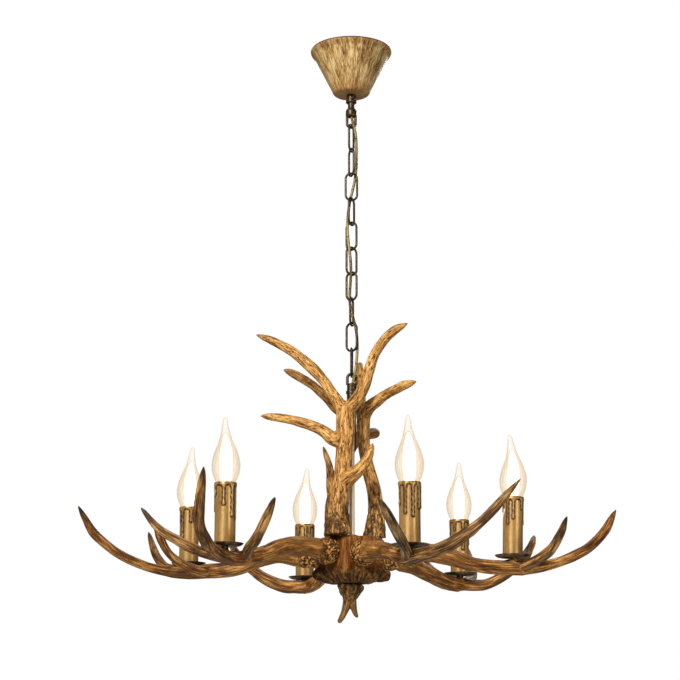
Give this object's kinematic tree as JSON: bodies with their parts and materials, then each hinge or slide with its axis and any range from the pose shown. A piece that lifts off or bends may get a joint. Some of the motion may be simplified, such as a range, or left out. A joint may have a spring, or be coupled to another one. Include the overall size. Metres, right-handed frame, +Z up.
{
  "type": "antler chandelier",
  "caption": "Candle chandelier of branching antler arms round a hub, with upright antlers on top, hung on a link chain from a conical ceiling canopy.",
  "frame": {"origin": "on the ceiling plane, at the middle of the mounting strap's top face", "axes": "+Z up out of the ceiling face, the lamp hangs along -Z, the front is -Y, the strap's screw holes lie along X"},
  "size_m": [0.7957, 0.704, 0.8885],
  "materials": {
    "antler_resin": "satin",
    "hub_resin": "satin",
    "canopy_paint": "satin",
    "bronze": "satin",
    "cable_sheath": "satin",
    "stem_metal": "satin",
    "candle_sleeve": "matte",
    "pan_metal": "satin",
    "holder_plastic": "matte",
    "bulb_glass": "gloss",
    "bulb_cap_metal": "polished",
    "steel": "satin"
  },
  "bodies": {
    "ceiling_mount": {"mounting_strap": "steel", "canopy_nipple": "steel", "nipple_lock_nut": "steel", "ground_screw": "steel", "terminal_block": "holder_plastic", "ceiling_canopy": "canopy_paint", "canopy_collar": "canopy_paint", "canopy_loop": "bronze", "supply_cable": "cable_sheath"},
    "link_01": {"chain_link_01": "bronze"},
    "link_02": {"chain_link_02": "bronze"},
    "link_03": {"chain_link_03": "bronze"},
    "link_04": {"chain_link_04": "bronze"},
    "link_05": {"chain_link_05": "bronze"},
    "link_06": {"chain_link_06": "bronze"},
    "link_07": {"chain_link_07": "bronze"},
    "link_08": {"chain_link_08": "bronze"},
    "link_09": {"chain_link_09": "bronze"},
    "link_10": {"chain_link_10": "bronze"},
    "bulb_right": {"bulb_glass_right": "bulb_glass", "bulb_cap_right": "bulb_cap_metal"},
    "bulb_rear_right": {"bulb_glass_rear_right": "bulb_glass", "bulb_cap_rear_right": "bulb_cap_metal"},
    "bulb_rear_left": {"bulb_glass_rear_left": "bulb_glass", "bulb_cap_rear_left": "bulb_cap_metal"},
    "bulb_left": {"bulb_glass_left": "bulb_glass", "bulb_cap_left": "bulb_cap_metal"},
    "bulb_front_left": {"bulb_glass_front_left": "bulb_glass", "bulb_cap_front_left": "bulb_cap_metal"},
    "bulb_front_right": {"bulb_glass_front_right": "bulb_glass", "bulb_cap_front_right": "bulb_cap_metal"},
    "fixture": {"antler_bolts": "steel", "arm_antler_front_left": "antler_resin", "arm_antler_front_right": "antler_resin", "arm_antler_left": "antler_resin", "arm_antler_rear_left": "antler_resin", "arm_antler_rear_right": "antler_resin", "arm_antler_right": "antler_resin", "body_loop": "bronze", "candle_nipples": "steel", "candle_sleeve_front_left": "candle_sleeve", "candle_sleeve_front_right": "candle_sleeve", "candle_sleeve_left": "candle_sleeve", "candle_sleeve_rear_left": "candle_sleeve", "candle_sleeve_rear_right": "candle_sleeve", "candle_sleeve_right": "candle_sleeve", "drip_pan_front_left": "pan_metal", "drip_pan_front_right": "pan_metal", "drip_pan_left": "pan_metal", "drip_pan_rear_left": "pan_metal", "drip_pan_rear_right": "pan_metal", "drip_pan_right": "pan_metal", "finial_antler": "hub_resin", "hub_body": "hub_resin", "lamp_holders": "holder_plastic", "stem_nuts": "steel", "stem_tube": "stem_metal", "upright_antler_front": "antler_resin", "upright_antler_rear": "antler_resin", "upright_antler_right": "antler_resin"}
  },
  "joints": [
    {"name": "canopy_to_link_01", "type": "hinge", "parent": "ceiling_mount", "child": "link_01", "pos_m": [0, 0, -0.12605], "axis": [1, 0, 0], "range_deg": [-8, 8], "deforming": ["supply_cable"]},
    {"name": "link_01_to_link_02", "type": "hinge", "parent": "link_01", "child": "link_02", "pos_m": [0, 0, -0.1652], "axis": [0.4067, 0.9135, 0], "range_deg": [-8, 8]},
    {"name": "link_02_to_link_03", "type": "hinge", "parent": "link_02", "child": "link_03", "pos_m": [0, 0, -0.2048], "axis": [0.4067, -0.9135, 0], "range_deg": [-8, 8]},
    {"name": "link_03_to_link_04", "type": "hinge", "parent": "link_03", "child": "link_04", "pos_m": [0, 0, -0.2444], "axis": [1, 0, 0], "range_deg": [-8, 8]},
    {"name": "link_04_to_link_05", "type": "hinge", "parent": "link_04", "child": "link_05", "pos_m": [0, 0, -0.284], "axis": [0.4695, 0.8829, 0], "range_deg": [-8, 8]},
    {"name": "link_05_to_link_06", "type": "hinge", "parent": "link_05", "child": "link_06", "pos_m": [0, 0, -0.3236], "axis": [0.866, -0.5, 0], "range_deg": [-8, 8]},
    {"name": "link_06_to_link_07", "type": "hinge", "parent": "link_06", "child": "link_07", "pos_m": [0, 0, -0.3632], "axis": [0.866, 0.5, 0], "range_deg": [-8, 8]},
    {"name": "link_07_to_link_08", "type": "hinge", "parent": "link_07", "child": "link_08", "pos_m": [0, 0, -0.4028], "axis": [0.866, -0.5, 0], "range_deg": [-8, 8]},
    {"name": "link_08_to_link_09", "type": "hinge", "parent": "link_08", "child": "link_09", "pos_m": [0, 0, -0.4424], "axis": [0.2588, 0.9659, 0], "range_deg": [-8, 8]},
    {"name": "link_09_to_link_10", "type": "hinge", "parent": "link_09", "child": "link_10", "pos_m": [0, 0, -0.482], "axis": [0.866, -0.5, 0], "range_deg": [-8, 8]},
    {"name": "link_10_to_body", "type": "hinge", "parent": "link_10", "child": "fixture", "pos_m": [0, 0, -0.5216], "axis": [0.0872, 0.9962, 0], "range_deg": [-8, 8]},
    {"name": "bulb_right_unscrew", "type": "slide", "parent": "fixture", "child": "bulb_right", "axis": [0, 0, 1], "range_m": [0, 0.03]},
    {"name": "bulb_rear_right_unscrew", "type": "slide", "parent": "fixture", "child": "bulb_rear_right", "axis": [0, 0, 1], "range_m": [0, 0.03]},
    {"name": "bulb_rear_left_unscrew", "type": "slide", "parent": "fixture", "child": "bulb_rear_left", "axis": [0, 0, 1], "range_m": [0, 0.03]},
    {"name": "bulb_left_unscrew", "type": "slide", "parent": "fixture", "child": "bulb_left", "axis": [0, 0, 1], "range_m": [0, 0.03]},
    {"name": "bulb_front_left_unscrew", "type": "slide", "parent": "fixture", "child": "bulb_front_left", "axis": [0, 0, 1], "range_m": [0, 0.03]},
    {"name": "bulb_front_right_unscrew", "type": "slide", "parent": "fixture", "child": "bulb_front_right", "axis": [0, 0, 1], "range_m": [0, 0.03]}
  ]
}
